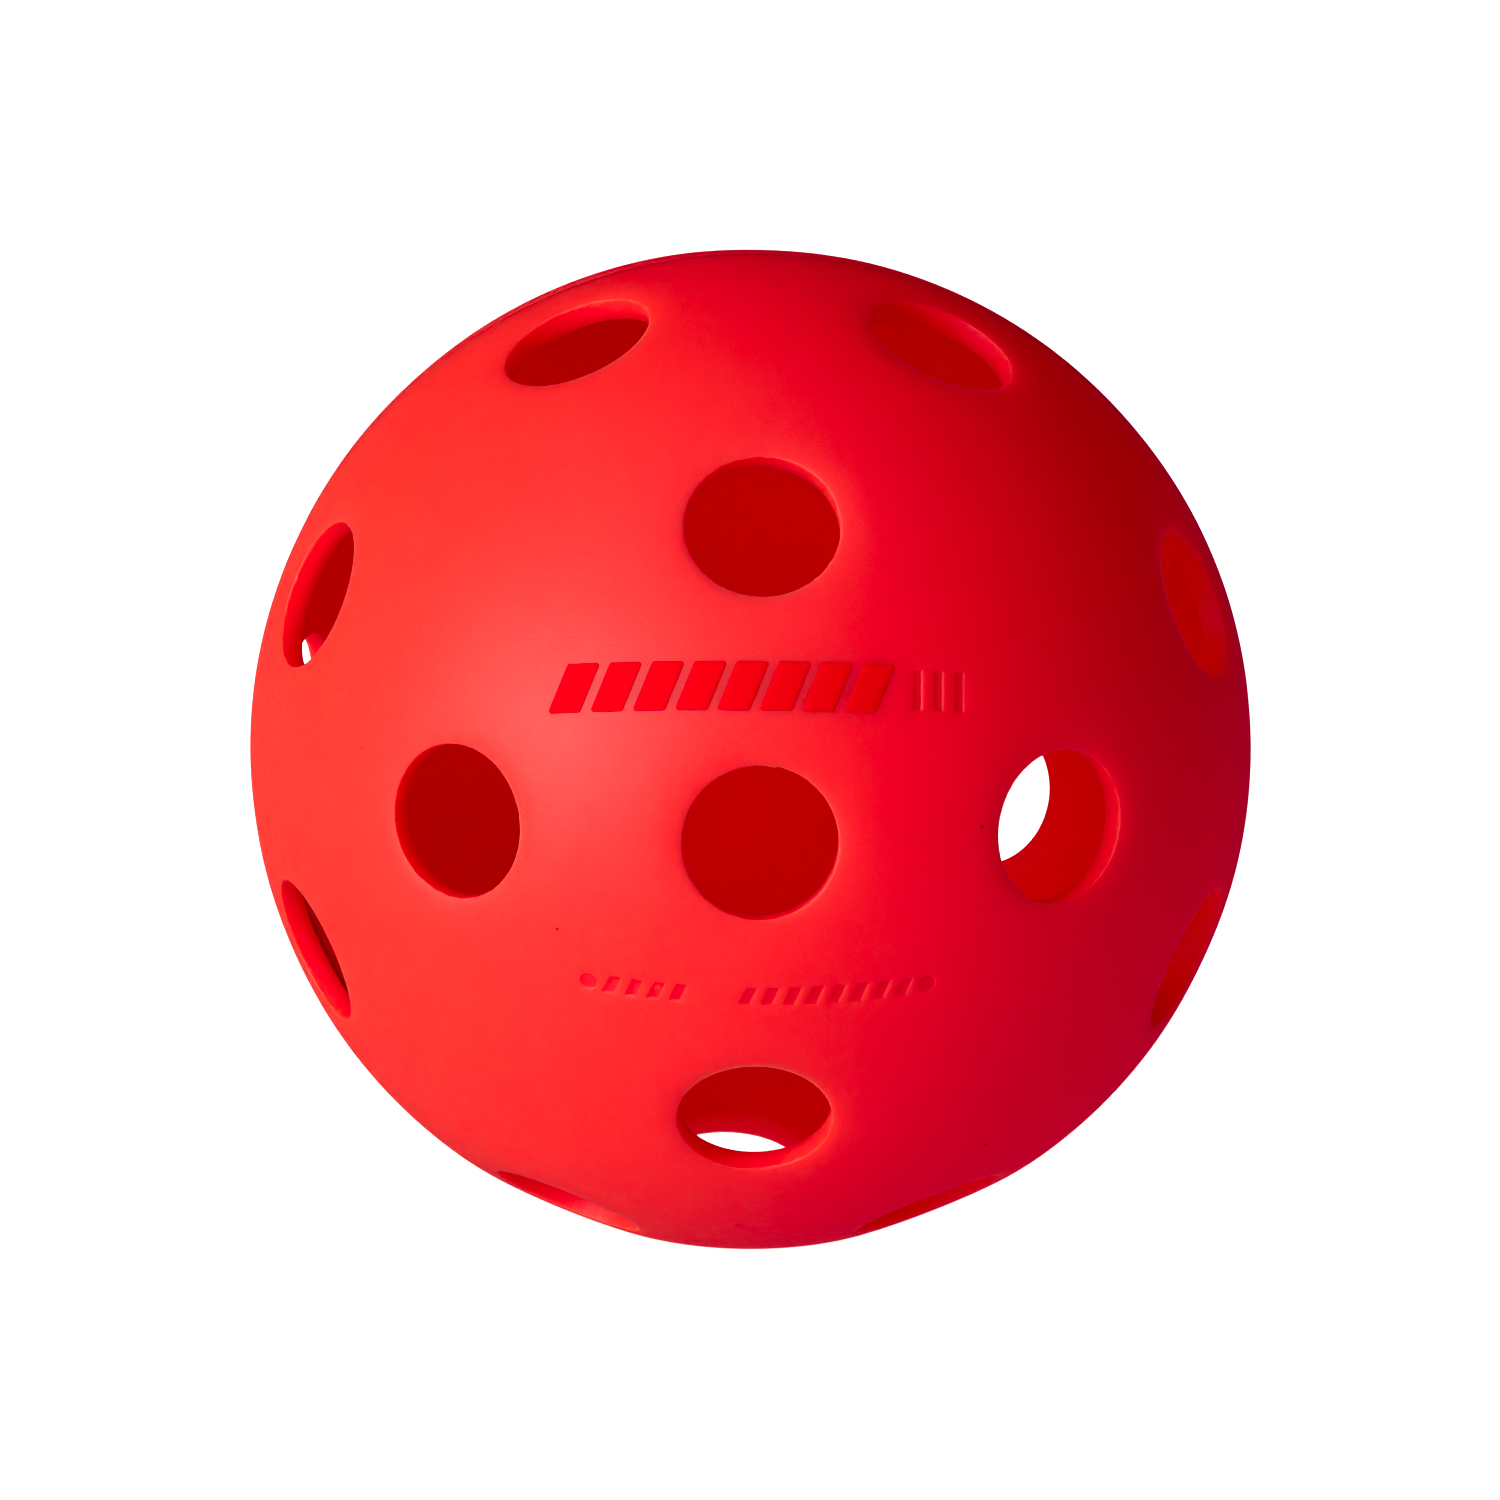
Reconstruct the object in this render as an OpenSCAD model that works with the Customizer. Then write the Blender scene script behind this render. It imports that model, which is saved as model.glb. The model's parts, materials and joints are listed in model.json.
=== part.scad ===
// Indoor pickleball ball: two perforated half mouldings welded at the equator.
// Origin at the ball's centre. The weld's axis is Y, the marked half faces -Y, +Z is up.

/* [Ball] */
// Outside diameter
ball_d = 74; // [72.9:0.1:75.4]
// Wall thickness of the mouldings
wall = 2; // [1.6:0.1:2.4]

/* [Holes] */
// Bore of every hole
hole_d = 11.2; // [10.4:0.1:11.8]
// Radius of the rounded outer lip of every hole
lip_r = 0.3; // [0.2:0.05:0.7]
// Angle from the pole to the ring of four holes
near_ring_angle = 36.4; // [35:0.1:37]
// Angle from the pole to the ring of eight holes
far_ring_angle = 72.2; // [70:0.1:74]
// Turn of the rear moulding, which brings its far holes close to the gaps of the front one
stagger = 24.1; // [20:0.1:25]

/* [Weld] */
// Width of the set melt between the two mouldings
weld_width = 0.5; // [0.3:0.1:0.8]
// Height of the melt above the ball's outer face
weld_ridge = 0.05; // [0.03:0.01:0.12]
// Radius of the bead inside the ball
bead_r = 0.55; // [0.45:0.05:0.9]

/* [Printed mark] */
// Angle from the pole up to the middle of the print
print_angle = 17.5; // [17:0.1:18]
// Width of the row of blocks
print_w = 23.2; // [20:0.2:24]
// Height of the blocks
print_h = 3.5; // [3:0.1:3.8]
// Number of blocks in the row
print_blocks = 8; // [6:1:10]
// Gap between one block and the next
print_gap = 0.7; // [0.5:0.1:1]
// Lean of the blocks and dashes from upright
lean = 22; // [0:1:30]
// Thickness of the ink film
ink = 0.05; // [0.04:0.01:0.1]

/* [Recessed marks] */
// Depth of the recessed marks
recess_depth = 0.15; // [0.1:0.01:0.25]
// Angle from the pole down to the line of dashes
line_angle = 17.8; // [17.4:0.1:18.2]
// Width of one dash
dash_w = 0.95; // [0.7:0.05:1.1]
// Height of one dash
dash_h = 1.5; // [1.2:0.1:1.7]
// Distance from one dash to the next
dash_pitch = 1.58; // [1.5:0.01:1.62]
// Dashes left of the break in the line
left_dashes = 4; // [3:1:4]
// Dashes right of the break in the line
right_dashes = 8; // [6:1:8]
// Width of the break in the line
dash_break = 3.4; // [2.6:0.1:3.6]
// Diameter of the round dimple at each end of the line
dimple_d = 1.4; // [1.2:0.1:1.6]
// Height of the three upright bars beside the print
bar_h = 3; // [2.6:0.1:3.4]
// Width of one upright bar
bar_w = 0.75; // [0.6:0.05:0.9]
// Distance from one upright bar to the next
bar_pitch = 1.5; // [1.3:0.1:1.6]

/* [Hidden] */
$fn = 96;
shell_color = [0.93, 0.03, 0.10];
weld_color = [0.85, 0.02, 0.09];
ink_color = [0.80, 0.0, 0.05];

r_out = ball_d / 2;
r_in = r_out - wall;
hole_r = hole_d / 2;
near_ring_count = 4;
far_ring_count = 2 * near_ring_count;
far_pitch = 360 / far_ring_count;
// A meridian that meets no hole: the surfaces of revolution start there.
clear_meridian = far_pitch;
// The lip's arc crosses the outer face at a small angle, with its crest this far above it.
lip_crest = 0.02;
lip_orbit = r_out + lip_crest - lip_r;
lip_x = hole_r + lip_r;
lip_z = sqrt(lip_orbit * lip_orbit - lip_x * lip_x);
// Tools that cut the wall reach this far past its faces.
reach = 2;
// The ridge of the weld is a circle segment as wide as the weld.
ridge_r = (weld_width * weld_width / 4 + weld_ridge * weld_ridge) / (2 * weld_ridge);
print_pitch = (print_w + print_gap) / print_blocks;
// The print and the upright bars to its right are one group, centred over the pole hole.
bar_count = 3;
bars_w = (bar_count - 1) * bar_pitch + bar_w;
bars_gap = 1.9;
group_w = print_w + bars_gap + bars_w;
print_x = (print_w - group_w) / 2;
bars_x = (group_w - bars_w) / 2;
dashes = left_dashes + right_dashes;
dimple_gap = 0.15;
line_w = dashes * dash_pitch + dash_break + 2 * (dimple_d + dimple_gap);

// Turns a moulding, whose pole is +Z, so that its pole faces -Y and its top stays up.
module in_ball() {
    rotate([90, 0, 0]) children();
}

// Carries its children from the pole to a place at the given angles.
module at(from_pole, around) {
    rotate([0, 0, around]) rotate([0, from_pole, 0]) children();
}

// Everything cut away for one hole on +Z: the bore, and the flare above its rounded lip.
module hole_tool() {
    flare = (r_out + reach) / lip_orbit;
    rotate_extrude() difference() {
        union() {
            translate([0, r_in - reach]) square([hole_r, wall + 2 * reach]);
            polygon([
                [0, lip_z],
                [lip_x, lip_z],
                [lip_x * flare, lip_z * flare],
                [0, lip_z * flare]
            ]);
        }
        translate([lip_x, lip_z]) circle(lip_r);
    }
}

// The plain cap: half of the hollow ball, stopping short of the equator by half the weld.
module cap() {
    rotate([0, 0, clear_meridian]) rotate_extrude() intersection() {
        difference() {
            circle(r_out);
            circle(r_in);
        }
        translate([0, weld_width / 2]) square(r_out);
    }
}

// One moulding: a cap with a pole hole and two rings of holes.
module moulding() {
    difference() {
        cap();
        hole_tool();
        for (i = [0 : near_ring_count - 1])
            at(near_ring_angle, i * 2 * far_pitch) hole_tool();
        for (i = [0 : far_ring_count - 1])
            at(far_ring_angle, (i + 0.5) * far_pitch) hole_tool();
    }
}

// A bar about its own middle, with its top leaning to the right.
module leaning_bar(w, h, angle) {
    shift = h / 2 * tan(angle);
    polygon([
        [-w / 2 - shift, -h / 2],
        [w / 2 - shift, -h / 2],
        [w / 2 + shift, h / 2],
        [-w / 2 + shift, h / 2]
    ]);
}

// The row of blocks in the print, flat.
module print_row() {
    for (i = [0 : print_blocks - 1])
        translate([print_x + (i - (print_blocks - 1) / 2) * print_pitch, 0])
            leaning_bar(print_pitch - print_gap, print_h, lean);
}

// The upright bars beside the print, flat.
module upright_bars() {
    for (i = [0 : bar_count - 1])
        translate([bars_x + (i - (bar_count - 1) / 2) * bar_pitch, 0])
            leaning_bar(bar_w, bar_h, 0);
}

// The line of dashes, flat: a dimple, two groups of dashes and a dimple.
module dash_line() {
    start = dimple_d + dimple_gap - line_w / 2;
    for (i = [0 : dashes - 1]) {
        past_break = i < left_dashes ? 0 : dash_break;
        translate([start + past_break + (i + 0.5) * dash_pitch, 0])
            leaning_bar(dash_w, dash_h, lean);
    }
    for (side = [-1, 1])
        translate([side * (line_w - dimple_d) / 2, 0]) circle(d = dimple_d);
}

// A flat outline carried straight through the wall, square to the ball at an angle above the pole.
module through_wall(above_pole) {
    rotate([-above_pole, 0, 0])
        translate([0, 0, r_in - 3 * reach])
            linear_extrude(wall + 4 * reach) children();
}

module front_half_shell() {
    color(shell_color) in_ball() difference() {
        moulding();
        difference() {
            union() {
                through_wall(-line_angle) dash_line();
                through_wall(print_angle) upright_bars();
            }
            sphere(r_out - recess_depth);
        }
    }
}

module rear_half_shell() {
    color(shell_color) in_ball()
        rotate([0, 0, -stagger]) rotate([180, 0, 0]) moulding();
}

// The weld's section: a strip through the wall with a low ridge outside and a round bead inside.
module weld_bead() {
    color(weld_color) in_ball() rotate([0, 0, clear_meridian]) rotate_extrude() {
        intersection() {
            translate([r_in - bead_r / 2, -weld_width / 2])
                square([wall + bead_r, weld_width]);
            union() {
                circle(r_out);
                translate([r_out + weld_ridge - ridge_r, 0]) circle(ridge_r);
            }
        }
        intersection() {
            translate([r_in, 0]) circle(bead_r);
            circle(r_in);
        }
    }
}

module printed_mark() {
    color(ink_color) in_ball() intersection() {
        through_wall(print_angle) print_row();
        difference() {
            sphere(r_out + ink);
            sphere(r_out);
        }
    }
}

front_half_shell();
rear_half_shell();
weld_bead();
printed_mark();
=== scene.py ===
"""Looks for a perforated indoor pickleball: two moulded half shells, their weld and a printed mark.

Lengths are in metres, and MM is a millimetre. In the moulding frame the pole hole is on +Z, +X is right
and +Y is up.
"""
import json
import math

import bmesh
import bpy
import numpy as np
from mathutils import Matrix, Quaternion, Vector
from mathutils.geometry import delaunay_2d_cdt

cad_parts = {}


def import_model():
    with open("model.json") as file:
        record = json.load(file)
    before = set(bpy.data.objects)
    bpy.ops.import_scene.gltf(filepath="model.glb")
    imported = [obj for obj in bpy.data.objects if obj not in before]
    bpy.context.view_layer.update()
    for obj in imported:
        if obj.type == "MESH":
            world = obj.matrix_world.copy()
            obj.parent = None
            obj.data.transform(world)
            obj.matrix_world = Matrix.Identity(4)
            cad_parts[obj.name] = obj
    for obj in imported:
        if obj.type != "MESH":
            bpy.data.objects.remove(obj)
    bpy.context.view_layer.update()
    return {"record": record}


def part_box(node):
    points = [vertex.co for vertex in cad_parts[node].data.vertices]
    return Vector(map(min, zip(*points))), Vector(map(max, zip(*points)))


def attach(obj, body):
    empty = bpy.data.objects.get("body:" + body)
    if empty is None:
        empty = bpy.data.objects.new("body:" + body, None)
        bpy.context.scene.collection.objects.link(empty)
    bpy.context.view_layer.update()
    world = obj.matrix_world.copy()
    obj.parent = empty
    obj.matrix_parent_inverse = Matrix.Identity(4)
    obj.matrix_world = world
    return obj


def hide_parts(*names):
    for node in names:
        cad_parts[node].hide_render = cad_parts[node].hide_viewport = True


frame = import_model()

# ---------------------------------------------------------------- sizes, from the frame
MM = 0.001
MOUNTS = {mount["name"]: mount for mount in frame["record"]["mounts"]}
POLE_HOLE = MOUNTS["front_pole_hole"]
BALL_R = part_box("front_half_shell")[1].z
HOLE_R = POLE_HOLE["dims"]["r_mm"] * MM
BORE_MID = abs(POLE_HOLE["pos_m"][1])
BORE_HALF = POLE_HOLE["dims"]["length_mm"] * MM / 2
INNER_R = math.hypot(BORE_MID - BORE_HALF, HOLE_R)
LIP_Z = BORE_MID + BORE_HALF
# The frame's lip is the circle that is tangent to the bore at LIP_Z and to the ball's outer face.
LIP_R = (BALL_R ** 2 - HOLE_R ** 2 - LIP_Z ** 2) / (2 * (BALL_R + HOLE_R))
WELD_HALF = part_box("rear_half_shell")[0].y
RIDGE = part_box("weld_bead")[1].z - BALL_R
BEAD_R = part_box("weld_bead")[1].y

# Hole rings of one moulding: angle from the pole, first hole's place and step around it, in degrees.
NEAR_RING = (36.4, 0.0, 90.0)
FAR_RING = (72.2, 22.5, 45.0)
STAGGER = 24.1

# Mesh fineness: points round a hole and round the weld, and steps between fill points
RIM_POINTS = 192
EDGE_POINTS = 576
FILL_STEP = 0.95 * MM
INNER_FILL_STEP = 1.3 * FILL_STEP
# Area that each of a set of evenly spread points takes up, in squares of their spacing
HEX_AREA = 0.866
LIP_STEPS, WALL_STEPS = 7, 4
RIDGE_STEPS, BEAD_STEPS = 6, 12
# Rings of points round each hole's rim, in steps away from it
RING_STEP, RINGS = 0.3 * MM, (1.0, 2.2, 3.7, 5.6, 8.0)
# Distances kept between the fill points and the weld face, and the band of points beside that face
EDGE_CLEAR, EDGE_BAND = 1.1 * MM, 0.5 * MM
# Distance kept between fill points and marks, and how far past a mark's outline it is checked
ART_CLEAR, ART_REACH = 0.3 * MM, 0.25 * MM

# The outer face sinks softly towards each hole and ends in a tighter lip than the frame's.
SINK_DEPTH, SINK_REACH = 0.3 * MM, 1.1 * MM
EDGE_R = 0.4 * LIP_R
# A slightly narrower bore makes up for the rims that lie lower.
BORE_R = HOLE_R - 0.05 * MM
SINK_SLOPE = math.atan(SINK_DEPTH / SINK_REACH)
# Direction of the lip's normal where it meets the outer face, and that place's radius and height
EDGE_START = math.pi / 2 - math.asin((BORE_R + EDGE_R) / BALL_R) + SINK_SLOPE
RIM_R = BORE_R + EDGE_R * (1 + math.cos(EDGE_START))
RIM_Z = math.sqrt((BALL_R - SINK_DEPTH) ** 2 - RIM_R ** 2)

# Rounding of the bore's inner end, size of the nicks round the rims, and gap beside the weld
INNER_ROUND = 0.05 * MM
RIM_RAGGED = 0.055 * MM
WELD_CLEARANCE = 0.008 * MM
# Overlap of the weld with the inner face, waver of its bead, and share of that waver on its ridge
WELD_OVERLAP, WELD_WAVE, RIDGE_SHARE = 0.02 * MM, 0.02 * MM, 0.15
FRONT_SEED, REAR_SEED, WELD_SEED = 26, 74, 7

# Sizes of the plastic's patterns: tone, shine, grain and flow marks
TONE_SIZE, SHINE_SIZE, GRAIN_SIZE, FLOW_SIZE = 9 * MM, 1.6 * MM, 0.16 * MM, 5 * MM
GRAIN_DEPTH, FLOW_DEPTH, PLASTIC_SHINE = 0.034 * MM, 0.05 * MM, 0.3
# Specks: the cell that holds one, its radius, and what it and a recess multiply the colour by
SPECK_CELL, SPECK_R, SPECK_TONE = 6.5 * MM, 0.16 * MM, (0.45, 0.3, 0.3)
MARK_TONE = (0.86, 0.74, 0.8)

# Recessed marks and print, as flat art seen square on from an angle above the pole
LEAN = math.radians(22)
PRINT_TILT = math.radians(17.5)
LINE_TILT = math.radians(-17.8)
RECESS_DEPTH, RECESS_ROUNDING = 0.1 * MM, 0.17 * MM
INK_TOP = 0.05 * MM
INK_SUNK = 0.02 * MM
INK_ROUNDING, INK_GRID, INK_MARGIN = 0.2 * MM, 0.4 * MM, 0.1 * MM
ART_STEP = 0.3 * MM
PRINT_BLOCKS, PRINT_W, PRINT_H, PRINT_GAP = 8, 23.2 * MM, 3.5 * MM, 0.7 * MM
BAR_COUNT, BAR_W, BAR_H, BAR_PITCH, BARS_GAP = 3, 0.75 * MM, 3.0 * MM, 1.5 * MM, 1.9 * MM
DASH_W, DASH_H, DASH_PITCH, DASH_BREAK = 0.95 * MM, 1.5 * MM, 1.58 * MM, 3.4 * MM
LEFT_DASHES, RIGHT_DASHES = 4, 8
DASHES = LEFT_DASHES + RIGHT_DASHES
DIMPLE_R, DIMPLE_GAP = 0.7 * MM, 0.15 * MM
# Widths of the three bars together and of the whole line
BARS_W = (BAR_COUNT - 1) * BAR_PITCH + BAR_W
LINE_W = DASHES * DASH_PITCH + DASH_BREAK + 2 * (2 * DIMPLE_R + DIMPLE_GAP)

# Camera: angles in degrees, distance in ball radii, the ball's share of the frame's width
CAM_AZIMUTH, CAM_ELEVATION, CAM_ROLL = -1.22, 10.56, 0.76
CAM_RADII, BALL_SHARE, CAM_SHIFT = 21.35, 0.6671, (-0.0005, -0.0008)

# Light: angles in degrees as seen from the front, watts and side for the softboxes
BOX_DISTANCE = 0.9
KEY = (-46, 9, 10.2, 0.5)
HIGH_KEY = (-30, 52, 3.7, 1.2)
FILL = 0.05
BACK = (-165, 10, 0.9)
WHITE = 1.2
# A saturated red leaves no green and little blue on the picture until it is bright.
BLACK_LEVEL = (0.0, 0.06, 0.008)
FLOOR_R, FLOOR_GAP = 4.0, 0.02 * MM
# The floor's glow to the camera, the sun on it, and its glow on the ball: all round, and in its shine
FLOOR_GLOW, FLOOR_LIGHT, FLOOR_BOUNCE, FLOOR_SHINE = 1.0, 1.6, 0.68, 0.09


# ---------------------------------------------------------------- directions and circles
def direction(from_pole, around):
    """Unit vector at an angle from the pole and a place around it, in radians."""
    s = math.sin(from_pole)
    return np.array([s * math.cos(around), s * math.sin(around), math.cos(from_pole)])


def hole_axes():
    """The axes of a moulding's holes: one on the pole and two rings."""
    axes = [direction(0, 0)]
    for from_pole, first, step in (NEAR_RING, FAR_RING):
        for around in np.arange(first, 360 + first, step):
            axes.append(direction(math.radians(from_pole), math.radians(around)))
    return axes


def basis(axis):
    """Two unit vectors square to the axis and to each other."""
    side = np.cross(axis, [0, 1, 0] if abs(axis[1]) < 0.9 else [1, 0, 0])
    side /= np.linalg.norm(side)
    return side, np.cross(axis, side)


def circle_about(axis, radius, height, count):
    """Points on the circle of a radius (one value, or one a point) at a height along the axis."""
    turn = np.arange(count) * 2 * math.pi / count
    u, v = basis(axis)
    ring = np.outer(np.cos(turn), u) + np.outer(np.sin(turn), v)
    return ring * np.reshape(radius, (-1, 1)) + np.reshape(height, (-1, 1)) * axis


def to_plane(points):
    """Stereographic map from the far pole, which keeps circles round."""
    unit = points / np.linalg.norm(points, axis=1)[:, None]
    return unit[:, :2] / (1 + unit[:, 2:])


def from_plane(flat):
    """The unit vectors that to_plane maps to these points."""
    s = (flat ** 2).sum(1)[:, None]
    return np.hstack([2 * flat, 1 - s]) / (1 + s)


# ---------------------------------------------------------------- flat art
def leaning_core(centre_x, width, height, lean, rounding):
    """Corners of a leaning bar, drawn in from its outline by the rounding."""
    half_w = width / 2 - rounding / math.cos(lean)
    half_h = height / 2 - rounding
    shift = half_h * math.tan(lean)
    return np.array([
        [centre_x - half_w - shift, -half_h],
        [centre_x + half_w - shift, -half_h],
        [centre_x + half_w + shift, half_h],
        [centre_x - half_w + shift, half_h],
    ])


def swell(core, radius, arc_steps=5):
    """The outline at a distance outside a convex core: straight runs joined by arcs."""
    count = len(core)
    if count == 1:
        turn = np.arange(24) * 2 * math.pi / 24
        return core[0] + radius * np.column_stack([np.cos(turn), np.sin(turn)])
    points = []
    for i in range(count):
        before, here, after = core[i - 1], core[i], core[(i + 1) % count]
        first = math.atan2(*(here - before)[::-1]) - math.pi / 2
        last = math.atan2(*(after - here)[::-1]) - math.pi / 2
        sweep = (last - first) % (2 * math.pi)
        for k in range(arc_steps + 1):
            angle = first + sweep * k / arc_steps
            points.append(here + radius * np.array([math.cos(angle), math.sin(angle)]))
        run = np.linalg.norm(after - here)
        steps = max(1, round(run / ART_STEP))
        start = points[-1]
        for k in range(1, steps):
            points.append(start + (after - here) * k / steps)
    return np.array(points)


def onto_ball(flat, tilt):
    """Flat art carried square on to the unit ball from an angle above the pole."""
    u, v = flat[:, 0] / BALL_R, flat[:, 1] / BALL_R
    depth = np.sqrt(1 - u ** 2 - v ** 2)
    return np.column_stack([
        u,
        v * math.cos(tilt) + depth * math.sin(tilt),
        depth * math.cos(tilt) - v * math.sin(tilt),
    ])


def print_cores(rounding):
    """The leaning blocks of the print."""
    pitch = (PRINT_W + PRINT_GAP) / PRINT_BLOCKS
    middle = -(BARS_GAP + BARS_W) / 2
    return [
        leaning_core(middle + (i - (PRINT_BLOCKS - 1) / 2) * pitch, pitch - PRINT_GAP,
                     PRINT_H, LEAN, rounding)
        for i in range(PRINT_BLOCKS)
    ]


def bar_cores(rounding):
    """The upright bars beside the print."""
    middle = (PRINT_W + BARS_GAP) / 2
    return [
        leaning_core(middle + (i - (BAR_COUNT - 1) / 2) * BAR_PITCH, BAR_W, BAR_H, 0, rounding)
        for i in range(BAR_COUNT)
    ]


def line_cores(rounding):
    """The dashes of the recessed line."""
    cores = []
    for i in range(DASHES):
        past_break = DASH_BREAK if i >= LEFT_DASHES else 0
        x = 2 * DIMPLE_R + DIMPLE_GAP - LINE_W / 2 + past_break + (i + 0.5) * DASH_PITCH
        cores.append(leaning_core(x, DASH_W, DASH_H, LEAN, rounding))
    return cores


def dimple_cores():
    """The middles of the two dimples, one at each end of the line."""
    return [np.array([[side * (LINE_W / 2 - DIMPLE_R), 0.0]]) for side in (-1, 1)]


def recess_loops():
    """Outlines of every recessed mark on the unit ball, each with the depth it lies at."""
    rounding = RECESS_ROUNDING
    # Distance in from the outline, and share of the full depth there
    steps = ((0.0, 0.0), (0.05 * MM, 0.2), (0.11 * MM, 0.8), (0.16 * MM, 1.0))
    jobs = [(core, rounding, PRINT_TILT) for core in bar_cores(rounding)]
    jobs += [(core, rounding, LINE_TILT) for core in line_cores(rounding)]
    jobs += [(core, DIMPLE_R, LINE_TILT) for core in dimple_cores()]
    loops = []
    for core, radius, tilt in jobs:
        for inset, share in steps:
            outline = onto_ball(swell(core, radius - inset), tilt)
            loops.append((outline, share * RECESS_DEPTH))
    return loops


# ---------------------------------------------------------------- skins
class Cloud:
    """Points and fixed edges of one skin, with each point's radius."""

    def __init__(self):
        self.units, self.radii, self.edges, self.count = [], [], [], 0

    def add(self, units, radius, closed=False):
        """Adds unit vectors at a radius, joined in a loop if closed, and returns their numbers."""
        numbers = np.arange(self.count, self.count + len(units))
        self.units.append(units)
        self.radii.append(np.full(len(units), radius))
        if closed:
            self.edges += list(zip(numbers.tolist(), np.roll(numbers, -1).tolist()))
        self.count += len(units)
        return numbers


def fibonacci(step):
    """Evenly spread unit vectors over the half ball, about a step apart on the outer face."""
    count = int(4 * math.pi * BALL_R ** 2 / (step ** 2 * HEX_AREA))
    index = np.arange(count // 2) + 0.5
    z = 1 - 2 * index / count
    turn = index * math.pi * (3 - math.sqrt(5))
    s = np.sqrt(1 - z ** 2)
    return np.column_stack([s * np.cos(turn), s * np.sin(turn), z])


def skin(radius, rim_angle, loops, fill_step, sunk):
    """Triangulates one face of a moulding.

    Returns the points, the triangles, the numbers of each hole's rim points and of the edge points,
    and each point's share of a mark's full depth.
    """
    axes = hole_axes()
    cloud = Cloud()
    rims = []
    grow = RING_STEP / BALL_R
    for axis in axes:
        ring = circle_about(axis, math.sin(rim_angle), math.cos(rim_angle), RIM_POINTS)
        rims.append(cloud.add(ring, radius, closed=True))
        for k, share in enumerate(RINGS):
            wide = rim_angle + grow * share
            points = circle_about(axis, math.sin(wide), math.cos(wide), RIM_POINTS >> (k // 2))
            cloud.add(points, radius)
    edge_height = (WELD_HALF + WELD_CLEARANCE) / radius
    edge_turn = np.arange(EDGE_POINTS) * 2 * math.pi / EDGE_POINTS
    rise = math.sqrt(1 - edge_height ** 2)
    edge_ring = np.column_stack([
        rise * np.cos(edge_turn), rise * np.sin(edge_turn), np.full(EDGE_POINTS, edge_height)])
    edge = cloud.add(edge_ring, radius, closed=True)
    near_edge = edge_ring + np.array([0, 0, EDGE_BAND / radius])
    cloud.add(near_edge / np.linalg.norm(near_edge, axis=1)[:, None], radius)
    for outline, depth in loops:
        cloud.add(outline, radius - depth, closed=True)

    fill = fibonacci(fill_step)
    keep = fill[:, 2] > EDGE_CLEAR / radius
    clear = math.cos(rim_angle + grow * RINGS[-1] + 0.6 * fill_step / BALL_R)
    for axis in axes:
        keep &= fill @ axis < clear
    for outline, _ in loops:
        middle = outline.mean(0)
        middle /= np.linalg.norm(middle)
        reach = np.linalg.norm(outline - middle, axis=1).max() + ART_REACH / BALL_R
        near = np.where(keep & (np.linalg.norm(fill - middle, axis=1) < reach))[0]
        gap = np.linalg.norm(fill[near][:, None] - outline[None], axis=2).min(1)
        keep[near[gap < ART_CLEAR / BALL_R]] = False
    cloud.add(fill[keep], radius)

    units, radii = np.vstack(cloud.units), np.concatenate(cloud.radii)
    flat = [Vector(p) for p in to_plane(units)]
    verts, _, faces, origin, _, _ = delaunay_2d_cdt(flat, cloud.edges, [], 0, 1e-8)
    number = np.full(cloud.count, -1)
    out_radius = np.full(len(verts), radius)
    for i, sources in enumerate(origin):
        for source in sources:
            number[source] = i
            out_radius[i] = radii[source]
    out_units = from_plane(np.array([v[:] for v in verts]))
    faces = np.array([f for f in faces if len(f) == 3])
    middle = out_units[faces].mean(1)
    middle /= np.linalg.norm(middle, axis=1)[:, None]
    inside = np.zeros(len(faces), bool)
    for axis in axes:
        inside |= middle @ axis > math.cos(rim_angle) + 1e-9
    faces = faces[~inside]
    marks = (radius - out_radius) / RECESS_DEPTH
    if sunk:
        for axis in axes:
            gap = (np.arccos(np.clip(out_units @ axis, -1, 1)) - rim_angle) * BALL_R
            out_radius -= SINK_DEPTH * np.exp(-np.maximum(gap, 0) / SINK_REACH)
    points = out_units * out_radius[:, None]
    return points, faces, [number[r] for r in rims], number[edge], marks


def ragged(rng, count):
    """A closed run of small random offsets, rough at the scale of a few points."""
    turn = np.arange(count) * 2 * math.pi / count
    value = np.zeros(count)
    for waves in range(5, 46, 4):
        phase, size = rng.uniform(0, 2 * math.pi), rng.normal(0, 1)
        value += size * np.sin(waves * turn + phase) / 3.3
    return value


def nicked(rng, count):
    """Small random offsets round a rim: a slight waver, and short nicks and burrs in worn patches."""
    places = np.arange(count)
    value = 0.3 * ragged(rng, count)
    for patch in rng.uniform(0, count, 4):
        spread = rng.uniform(0.03, 0.09) * count
        for middle in rng.normal(patch, spread, rng.integers(4, 9)):
            gap = (places - middle + count / 2) % count - count / 2
            size = rng.uniform(0.5, 1.5) * rng.choice((1, 1, -1))
            value += size * np.exp(-(gap / rng.uniform(0.8, 1.5)) ** 2)
    return value


def lip_profile():
    """Points (radius, height, share of raggedness) from the outer face into the bore and out inside."""
    centre_r, centre_z = BORE_R + EDGE_R, RIM_Z - EDGE_R * math.sin(EDGE_START)
    profile = []
    for k in range(1, LIP_STEPS + 1):
        angle = EDGE_START + (math.pi - EDGE_START) * k / LIP_STEPS
        share = (k / LIP_STEPS) ** 2
        ring_r, ring_z = centre_r + EDGE_R * math.cos(angle), centre_z + EDGE_R * math.sin(angle)
        profile.append((ring_r, ring_z, share))
    bottom = math.sqrt((INNER_R + INNER_ROUND) ** 2 - BORE_R ** 2)
    for k in range(1, WALL_STEPS + 1):
        profile.append((BORE_R, centre_z + (bottom - centre_z) * (k / WALL_STEPS) ** 2, 0.4 ** k))
    return profile


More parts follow.
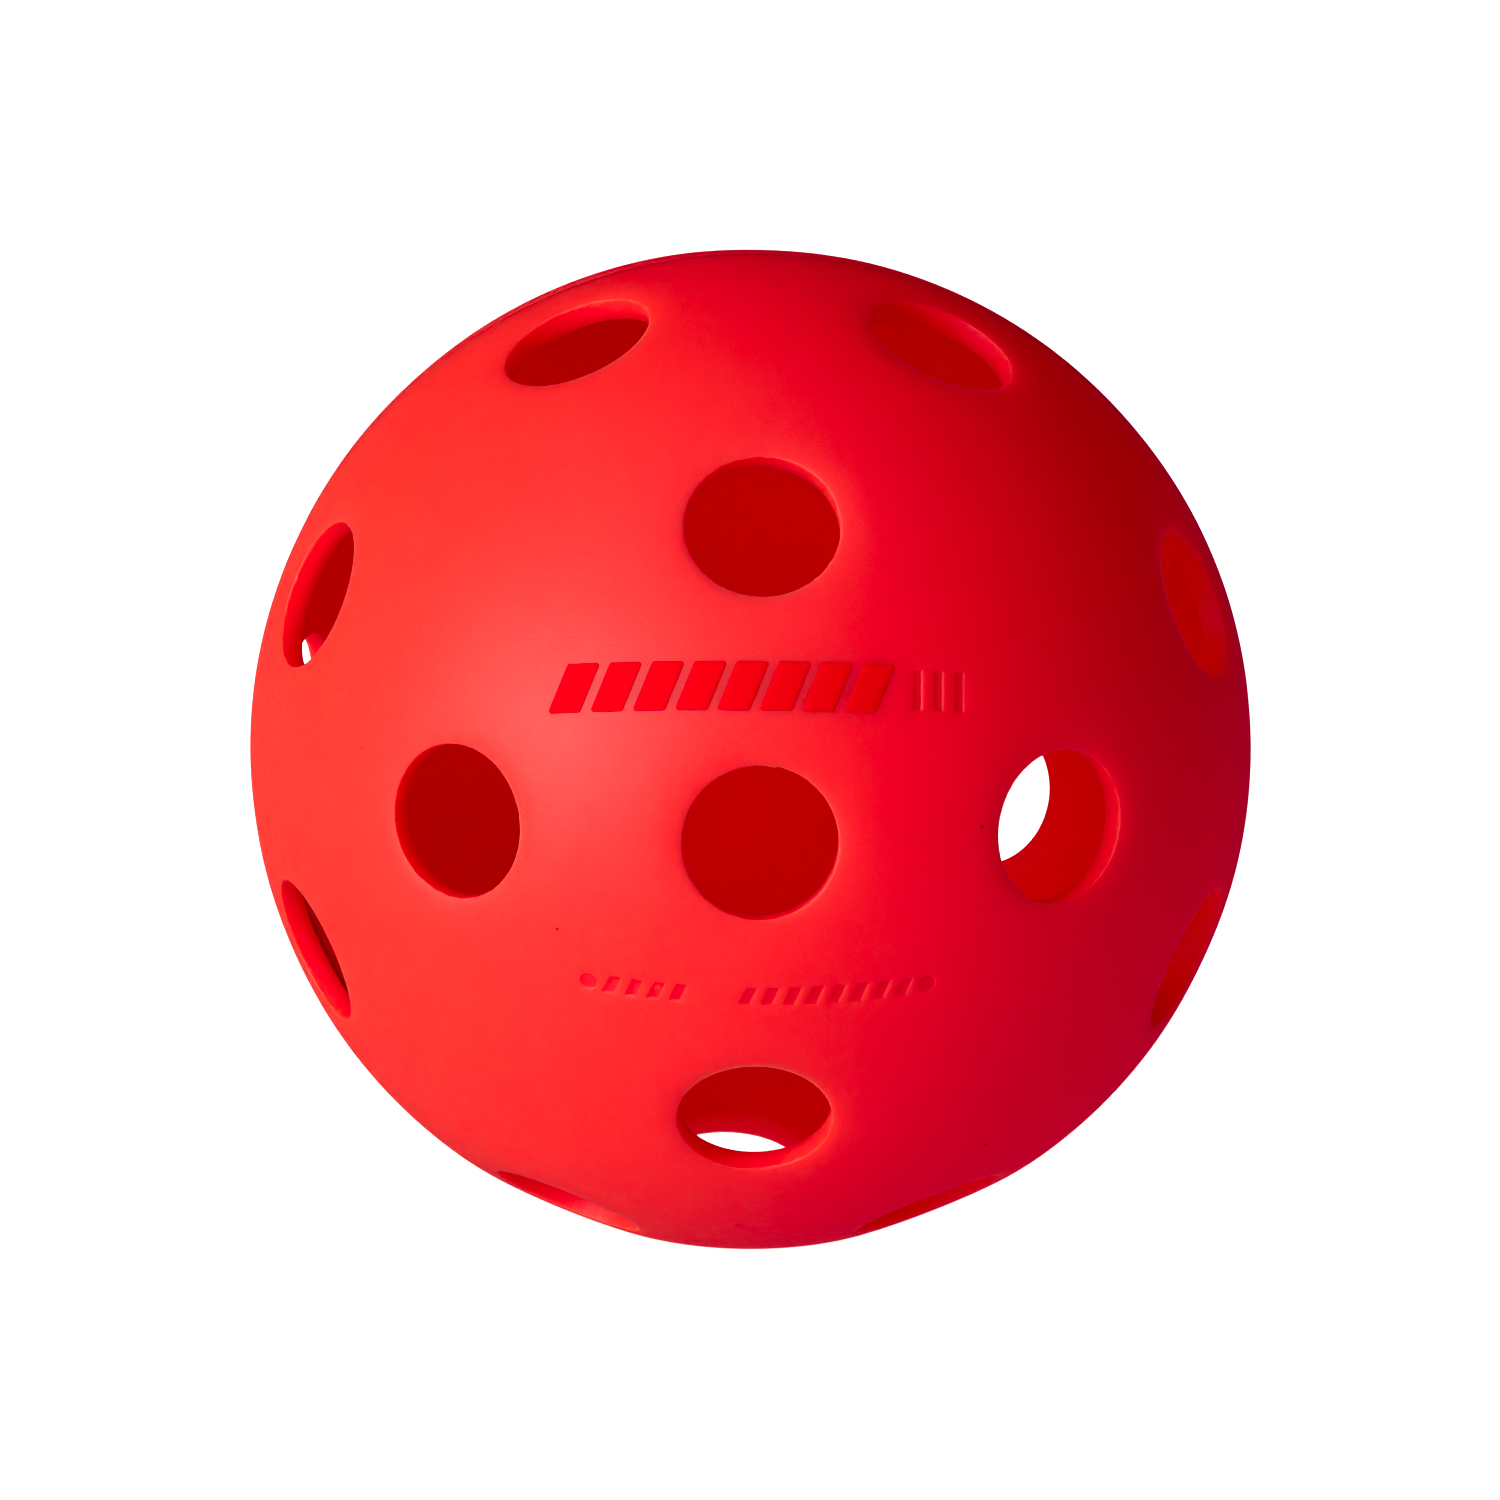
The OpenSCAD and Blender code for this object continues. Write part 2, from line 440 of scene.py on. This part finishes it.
def half_shell(name, loops, to_row, seed):
    """One closed moulding: outer face, inner face, every hole's wall and the face at the weld."""
    rng = np.random.default_rng(seed)
    rim_angle = math.atan2(RIM_R, RIM_Z)
    outer, outer_faces, outer_rims, outer_edge, outer_marks = skin(
        BALL_R, rim_angle, loops, FILL_STEP, True)
    inner_rim = math.asin((BORE_R + INNER_ROUND) / INNER_R)
    inner, inner_faces, inner_rims, inner_edge, _ = skin(
        INNER_R, inner_rim, [], INNER_FILL_STEP, False)
    points = [outer, inner]
    count = len(outer) + len(inner)
    faces = outer_faces.tolist() + (inner_faces[:, ::-1] + len(outer)).tolist()

    def join(upper, lower):
        """Quads between two rings of the same count."""
        following_upper, following_lower = np.roll(upper, -1), np.roll(lower, -1)
        faces.extend(np.column_stack([upper, following_upper, following_lower, lower]).tolist())

    profile = lip_profile()
    for axis, rim_out, rim_in in zip(hole_axes(), outer_rims, inner_rims):
        rough = nicked(rng, RIM_POINTS) * RIM_RAGGED
        above = rim_out
        for ring_r, ring_z, share in profile:
            points.append(circle_about(axis, ring_r + rough * share, ring_z, RIM_POINTS))
            here = np.arange(count, count + RIM_POINTS)
            count += RIM_POINTS
            join(above, here)
            above = here
        join(above, rim_in + len(outer))
    join(inner_edge + len(outer), outer_edge)

    co = np.vstack(points) @ np.array(to_row).T
    piece = add_mesh(name, co, faces)
    marked = piece.data.attributes.new("marked", "FLOAT", "POINT")
    marked.data.foreach_set("value", np.append(outer_marks, np.zeros(count - len(outer))).tolist())
    return piece


# ---------------------------------------------------------------- Blender objects
def add_mesh(name, co, faces):
    """A smooth-shaded object from points and faces, all facing out."""
    mesh = bpy.data.meshes.new(name)
    mesh.from_pydata([tuple(p) for p in co], [], faces)
    mesh.validate()
    mesh.shade_smooth()
    piece = bpy.data.objects.new(name, mesh)
    bpy.context.scene.collection.objects.link(piece)
    return piece


def in_ball():
    """The turn that points a moulding's pole at -Y and keeps its top up."""
    return np.array([[1, 0, 0], [0, 0, -1], [0, 1, 0]], float)


def turned_over():
    """The rear moulding's turn: over about X, round by the stagger, then into the ball."""
    over = np.diag([1.0, -1.0, -1.0])
    c, s = math.cos(math.radians(STAGGER)), math.sin(math.radians(STAGGER))
    back = np.array([[c, s, 0], [-s, c, 0], [0, 0, 1]])
    return in_ball() @ back @ over


def weld_ring(name):
    """The set melt: a strip through the wall, a low ridge outside and a wavy round bead inside."""
    rng = np.random.default_rng(WELD_SEED)
    turn = np.arange(EDGE_POINTS) * 2 * math.pi / EDGE_POINTS
    half = WELD_HALF
    profile = []
    for k in range(RIDGE_STEPS + 1):
        y = -half + 2 * half * k / RIDGE_STEPS
        profile.append((BALL_R + RIDGE * (1 - (y / half) ** 2), y, RIDGE_SHARE))
    profile.append((INNER_R + WELD_OVERLAP, half, 0.0))
    for k in range(1, BEAD_STEPS):
        angle = math.pi * k / BEAD_STEPS
        profile.append((INNER_R - BEAD_R * math.sin(angle), BEAD_R * math.cos(angle), 1.0))
    profile.append((INNER_R + WELD_OVERLAP, -half, 0.0))
    wave = ragged(rng, EDGE_POINTS) * WELD_WAVE
    rings, faces = [], []
    for radius, y, share in profile:
        r = radius + wave * share
        rings.append(np.column_stack([r * np.cos(turn), np.full(EDGE_POINTS, y), r * np.sin(turn)]))
    for k in range(len(profile)):
        here = np.arange(EDGE_POINTS) + k * EDGE_POINTS
        there = np.arange(EDGE_POINTS) + (k + 1) % len(profile) * EDGE_POINTS
        faces += np.column_stack([there, np.roll(there, -1), np.roll(here, -1), here]).tolist()
    return add_mesh(name, np.vstack(rings), faces)


def ink_film(name):
    """The printed blocks: thin closed films with soft edges, their undersides just inside the shell."""
    rounding = INK_ROUNDING
    # Distance in from the outline, and height over the ball's face
    steps = ((0.0, -INK_SUNK), (0.02 * MM, 0.6 * INK_TOP), (0.07 * MM, INK_TOP))
    points, faces, count = [], [], 0
    for core in print_cores(rounding):
        flat, height, edges = [], [], []
        for inset, rise in steps:
            loop = swell(core, rounding - inset)
            first = len(flat)
            flat += loop.tolist()
            height += [rise] * len(loop)
            edges += [(first + i, first + (i + 1) % len(loop)) for i in range(len(loop))]
        rim = len(swell(core, rounding))
        low, high = core.min(0), core.max(0)
        for x in np.arange(low[0], high[0], INK_GRID):
            for y in np.arange(low[1] + INK_MARGIN, high[1], INK_GRID):
                lean_x = x - core[:, 0].mean() - y * math.tan(LEAN)
                if abs(lean_x) < (core[1, 0] - core[0, 0]) / 2 - INK_MARGIN:
                    flat.append([x, y])
                    height.append(INK_TOP)
        # Worked in millimetres, so that the solver's tolerance suits the sizes
        scale = 1 / MM
        corners = [Vector((x * scale, y * scale)) for x, y in flat]
        found = delaunay_2d_cdt(corners, edges, [], 1, 1e-6)
        flat_out = np.array([v[:] for v in found[0]]) * MM
        rise = np.array([height[source[0]] for source in found[3]])
        top = onto_ball(flat_out, PRINT_TILT) * (BALL_R + rise)[:, None]
        bottom = onto_ball(flat_out, PRINT_TILT) * (BALL_R - INK_SUNK)
        on_rim = np.array([source[0] < rim for source in found[3]])
        below = np.where(on_rim, np.arange(len(top)), np.arange(len(top)) + len(top))
        points += [top, bottom]
        faces += (np.array(found[2]) + count).tolist()
        faces += (below[np.array(found[2])][:, ::-1] + count).tolist()
        count += 2 * len(top)
    co = np.vstack(points) @ in_ball().T
    piece = add_mesh(name, co, faces)
    used = {i for polygon in piece.data.polygons for i in polygon.vertices}
    drop_loose(piece, used)
    return piece


def drop_loose(piece, used):
    """Deletes the points that no face uses."""
    bm = bmesh.new()
    bm.from_mesh(piece.data)
    bm.verts.ensure_lookup_table()
    bmesh.ops.delete(bm, geom=[v for v in bm.verts if v.index not in used], context="VERTS")
    bm.to_mesh(piece.data)
    bm.free()


# ---------------------------------------------------------------- materials
def node_tree(name):
    """A new material with its node tree emptied but for the output."""
    material = bpy.data.materials.new(name)
    material.use_nodes = True
    tree = material.node_tree
    tree.nodes.clear()
    output = tree.nodes.new("ShaderNodeOutputMaterial")
    return material, tree, output


def noise(tree, size, detail=2.0, rough=0.5):
    """A noise texture over the row frame whose features are about a size across."""
    place = tree.nodes.get("Place") or tree.nodes.new("ShaderNodeTexCoord")
    place.name = "Place"
    texture = tree.nodes.new("ShaderNodeTexNoise")
    texture.inputs["Scale"].default_value = 1 / size
    texture.inputs["Detail"].default_value = detail
    texture.inputs["Roughness"].default_value = rough
    tree.links.new(place.outputs["Object"], texture.inputs["Vector"])
    return texture.outputs["Fac"]


def ramp(tree, factor, low, high, dark, light):
    """Runs a factor between two stops to two colours."""
    node = tree.nodes.new("ShaderNodeValToRGB")
    node.color_ramp.elements[0].position = low
    node.color_ramp.elements[1].position = high
    node.color_ramp.elements[0].color = (*dark, 1)
    node.color_ramp.elements[1].color = (*light, 1)
    tree.links.new(factor, node.inputs["Fac"])
    return node.outputs["Color"]


def span(tree, factor, low, high):
    """Runs a factor from 0 to 1 on to a span of values."""
    node = tree.nodes.new("ShaderNodeMapRange")
    node.inputs["To Min"].default_value = low
    node.inputs["To Max"].default_value = high
    tree.links.new(factor, node.inputs["Value"])
    return node.outputs["Result"]


def bump(tree, height, distance, strength, below=None):
    """Bump of a height texture over another bump."""
    node = tree.nodes.new("ShaderNodeBump")
    node.inputs["Distance"].default_value = distance
    node.inputs["Strength"].default_value = strength
    tree.links.new(height, node.inputs["Height"])
    if below is not None:
        tree.links.new(below, node.inputs["Normal"])
    return node.outputs["Normal"]


def shade(tree, colour, factor, dark):
    """Multiplies a colour by a darker one where a factor is high."""
    node = tree.nodes.new("ShaderNodeMix")
    node.data_type = "RGBA"
    node.blend_type = "MULTIPLY"
    tree.links.new(factor, node.inputs["Factor"])
    tree.links.new(colour, node.inputs["A"])
    node.inputs["B"].default_value = (*dark, 1)
    return node.outputs["Result"]


def specks(tree):
    """1 in the few tiny specks where a sparse 3-D scatter of dots meets the surface, else 0."""
    dots = tree.nodes.new("ShaderNodeTexVoronoi")
    dots.inputs["Scale"].default_value = 1 / SPECK_CELL
    tree.links.new(tree.nodes["Place"].outputs["Object"], dots.inputs["Vector"])
    near = tree.nodes.new("ShaderNodeMapRange")
    near.inputs["From Min"].default_value = 1.2 * SPECK_R / SPECK_CELL
    near.inputs["From Max"].default_value = 0.6 * SPECK_R / SPECK_CELL
    tree.links.new(dots.outputs["Distance"], near.inputs["Value"])
    return near.outputs["Result"]


def plastic(name, deep, bright, roughness, scatter):
    """Moulded translucent plastic: two close reds, a fine grain, faint flow marks, light inside."""
    material, tree, output = node_tree(name)
    shader = tree.nodes.new("ShaderNodeBsdfPrincipled")
    colour = ramp(tree, noise(tree, TONE_SIZE, 3), 0.3, 0.7, deep, bright)
    marked = tree.nodes.new("ShaderNodeAttribute")
    marked.attribute_name = "marked"
    colour = shade(tree, colour, marked.outputs["Fac"], MARK_TONE)
    colour = shade(tree, colour, specks(tree), SPECK_TONE)
    tree.links.new(colour, shader.inputs["Base Color"])
    tree.links.new(span(tree, noise(tree, SHINE_SIZE, 4, 0.6), *roughness), shader.inputs["Roughness"])
    shader.inputs["Subsurface Weight"].default_value = 1.0
    shader.inputs["Subsurface Radius"].default_value = (1.0, 0.8, 0.8)
    shader.inputs["Subsurface Scale"].default_value = scatter
    shader.inputs["IOR"].default_value = 1.5
    shader.inputs["Specular IOR Level"].default_value = PLASTIC_SHINE
    grain = bump(tree, noise(tree, GRAIN_SIZE, 2), GRAIN_DEPTH, 0.8)
    flow = bump(tree, noise(tree, FLOW_SIZE, 2), FLOW_DEPTH, 0.25, grain)
    tree.links.new(flow, shader.inputs["Normal"])
    tree.links.new(shader.outputs["BSDF"], output.inputs["Surface"])
    return material


def ink_paint(name):
    """Flat pad-printed ink: opaque, a little uneven, with hardly any shine."""
    material, tree, output = node_tree(name)
    shader = tree.nodes.new("ShaderNodeBsdfPrincipled")
    colour = ramp(tree, noise(tree, 0.5 * MM, 3), 0.3, 0.7, (0.73, 0.0, 0.007), (0.76, 0.0, 0.0085))
    tree.links.new(colour, shader.inputs["Base Color"])
    shader.inputs["Roughness"].default_value = 0.75
    shader.inputs["Specular IOR Level"].default_value = 0.05
    tree.links.new(bump(tree, noise(tree, 0.15 * MM, 2), 0.01 * MM, 0.5), shader.inputs["Normal"])
    tree.links.new(shader.outputs["BSDF"], output.inputs["Surface"])
    return material


# ---------------------------------------------------------------- stage
def floor():
    """A wide white floor. The object is lit by an even glow from it, whatever the camera sees of it."""
    top = min(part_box("weld_bead")[0].z, -BALL_R) - FLOOR_GAP
    bpy.ops.mesh.primitive_circle_add(
        vertices=96, radius=FLOOR_R, fill_type="NGON", location=(0, 0, top))
    plane = bpy.context.object
    plane.name = "floor"
    material, tree, output = node_tree("floor_white")
    glow, white, bounce = (tree.nodes.new(kind) for kind in (
        "ShaderNodeEmission", "ShaderNodeBsdfDiffuse", "ShaderNodeEmission"))
    glow.inputs["Strength"].default_value = FLOOR_GLOW
    white.inputs["Color"].default_value = (0.9, 0.9, 0.9, 1)
    seen = tree.nodes.new("ShaderNodeAddShader")
    tree.links.new(glow.outputs["Emission"], seen.inputs[0])
    tree.links.new(white.outputs["BSDF"], seen.inputs[1])
    path = tree.nodes.new("ShaderNodeLightPath")
    lit = span(tree, path.outputs["Is Glossy Ray"], FLOOR_BOUNCE, FLOOR_SHINE)
    tree.links.new(lit, bounce.inputs["Strength"])
    mix = tree.nodes.new("ShaderNodeMixShader")
    tree.links.new(path.outputs["Is Camera Ray"], mix.inputs["Fac"])
    tree.links.new(bounce.outputs["Emission"], mix.inputs[1])
    tree.links.new(seen.outputs["Shader"], mix.inputs[2])
    tree.links.new(mix.outputs["Shader"], output.inputs["Surface"])
    plane.data.materials.append(material)
    return plane


def toward(azimuth, elevation):
    """Unit vector from the ball towards a place seen from it at these angles, in degrees."""
    a, e = math.radians(azimuth), math.radians(elevation)
    return Vector((math.sin(a) * math.cos(e), -math.cos(a) * math.cos(e), math.sin(e)))


def world():
    """White to the camera; to the object, a dim even fill and a soft glow from behind on the left."""
    surround = bpy.data.worlds.new("surround")
    surround.use_nodes = True
    tree = surround.node_tree
    tree.nodes.clear()
    output = tree.nodes.new("ShaderNodeOutputWorld")
    seen = tree.nodes.new("ShaderNodeBackground")
    seen.inputs["Strength"].default_value = WHITE
    place = tree.nodes.new("ShaderNodeTexCoord")
    facing = tree.nodes.new("ShaderNodeVectorMath")
    facing.operation = "DOT_PRODUCT"
    facing.inputs[1].default_value = toward(*BACK[:2])
    tree.links.new(place.outputs["Generated"], facing.inputs[0])
    cast = tree.nodes.new("ShaderNodeBackground")
    tree.links.new(span(tree, facing.outputs["Value"], FILL, FILL + BACK[2]), cast.inputs["Strength"])
    path = tree.nodes.new("ShaderNodeLightPath")
    mix = tree.nodes.new("ShaderNodeMixShader")
    tree.links.new(path.outputs["Is Camera Ray"], mix.inputs["Fac"])
    tree.links.new(cast.outputs["Background"], mix.inputs[1])
    tree.links.new(seen.outputs["Background"], mix.inputs[2])
    tree.links.new(mix.outputs["Shader"], output.inputs["Surface"])
    surround.cycles_visibility.glossy = False
    bpy.context.scene.world = surround


def only_on(light, name, receivers):
    """Makes a light fall on some objects only."""
    group = bpy.data.collections.new(name)
    for receiver in receivers:
        group.objects.link(receiver)
    light.light_linking.receiver_collection = group


def softbox(name, azimuth, elevation, power, size, receivers):
    """A square soft light that faces the ball, placed by its angles as seen from the front."""
    data = bpy.data.lights.new(name, "AREA")
    data.shape = "SQUARE"
    data.size = size
    data.energy = power
    light = bpy.data.objects.new(name, data)
    bpy.context.scene.collection.objects.link(light)
    away = toward(azimuth, elevation)
    light.location = away * BOX_DISTANCE
    light.rotation_euler = (-away).to_track_quat("-Z", "Y").to_euler()
    only_on(light, name + "_receivers", receivers)


def overhead(receivers):
    """A wide soft sun on the floor alone, which leaves a faint shadow under the ball."""
    data = bpy.data.lights.new("overhead", "SUN")
    data.angle = math.radians(150)
    data.energy = FLOOR_LIGHT
    light = bpy.data.objects.new("overhead", data)
    bpy.context.scene.collection.objects.link(light)
    light.location = (0, 0, 1)
    only_on(light, "overhead_receivers", receivers)


def camera():
    """The camera at the photograph's viewing angle, with a long lens."""
    data = bpy.data.cameras.new("camera")
    distance = CAM_RADII * BALL_R
    data.sensor_width = 36
    data.lens = BALL_SHARE * data.sensor_width / 2 / math.tan(math.asin(1 / CAM_RADII))
    data.shift_x, data.shift_y = CAM_SHIFT
    data.clip_end = 20
    view = bpy.data.objects.new("camera", data)
    bpy.context.scene.collection.objects.link(view)
    back = toward(CAM_AZIMUTH, CAM_ELEVATION)
    view.location = back * distance
    turn = (-back).to_track_quat("-Z", "Y") @ Quaternion((0, 0, 1), math.radians(CAM_ROLL))
    view.rotation_euler = turn.to_euler()
    bpy.context.scene.camera = view


# ---------------------------------------------------------------- the object
def finish_piece(piece, node, material):
    """Gives a piece its finish and ties it to the frame."""
    piece.data.materials.append(material)
    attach(piece, "root")
    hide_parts(node)
    return piece


shell_plastic = plastic(
    "shell_plastic", (0.885, 0.065, 0.021), (0.905, 0.068, 0.023), (0.42, 0.56), 2.4 * MM)
weld_plastic = plastic(
    "weld_plastic", (0.87, 0.064, 0.021), (0.89, 0.067, 0.023), (0.34, 0.46), 0.4 * MM)
pieces = [
    finish_piece(half_shell("front_shell_moulding", recess_loops(), in_ball(), FRONT_SEED),
                 "front_half_shell", shell_plastic),
    finish_piece(half_shell("rear_shell_moulding", [], turned_over(), REAR_SEED),
                 "rear_half_shell", shell_plastic),
    finish_piece(weld_ring("weld_ring"), "weld_bead", weld_plastic),
    finish_piece(ink_film("printed_blocks"), "printed_mark", ink_paint("print_ink")),
]

world()
ground = floor()
softbox("key", *KEY, pieces)
softbox("high_key", *HIGH_KEY, pieces)
overhead([ground])
camera()

scene = bpy.context.scene
scene.view_settings.view_transform = "Standard"
scene.view_settings.use_curve_mapping = True
curves = scene.view_settings.curve_mapping
curves.black_level = BLACK_LEVEL
curves.update()
scene.cycles.max_bounces = 24
scene.cycles.diffuse_bounces = 16
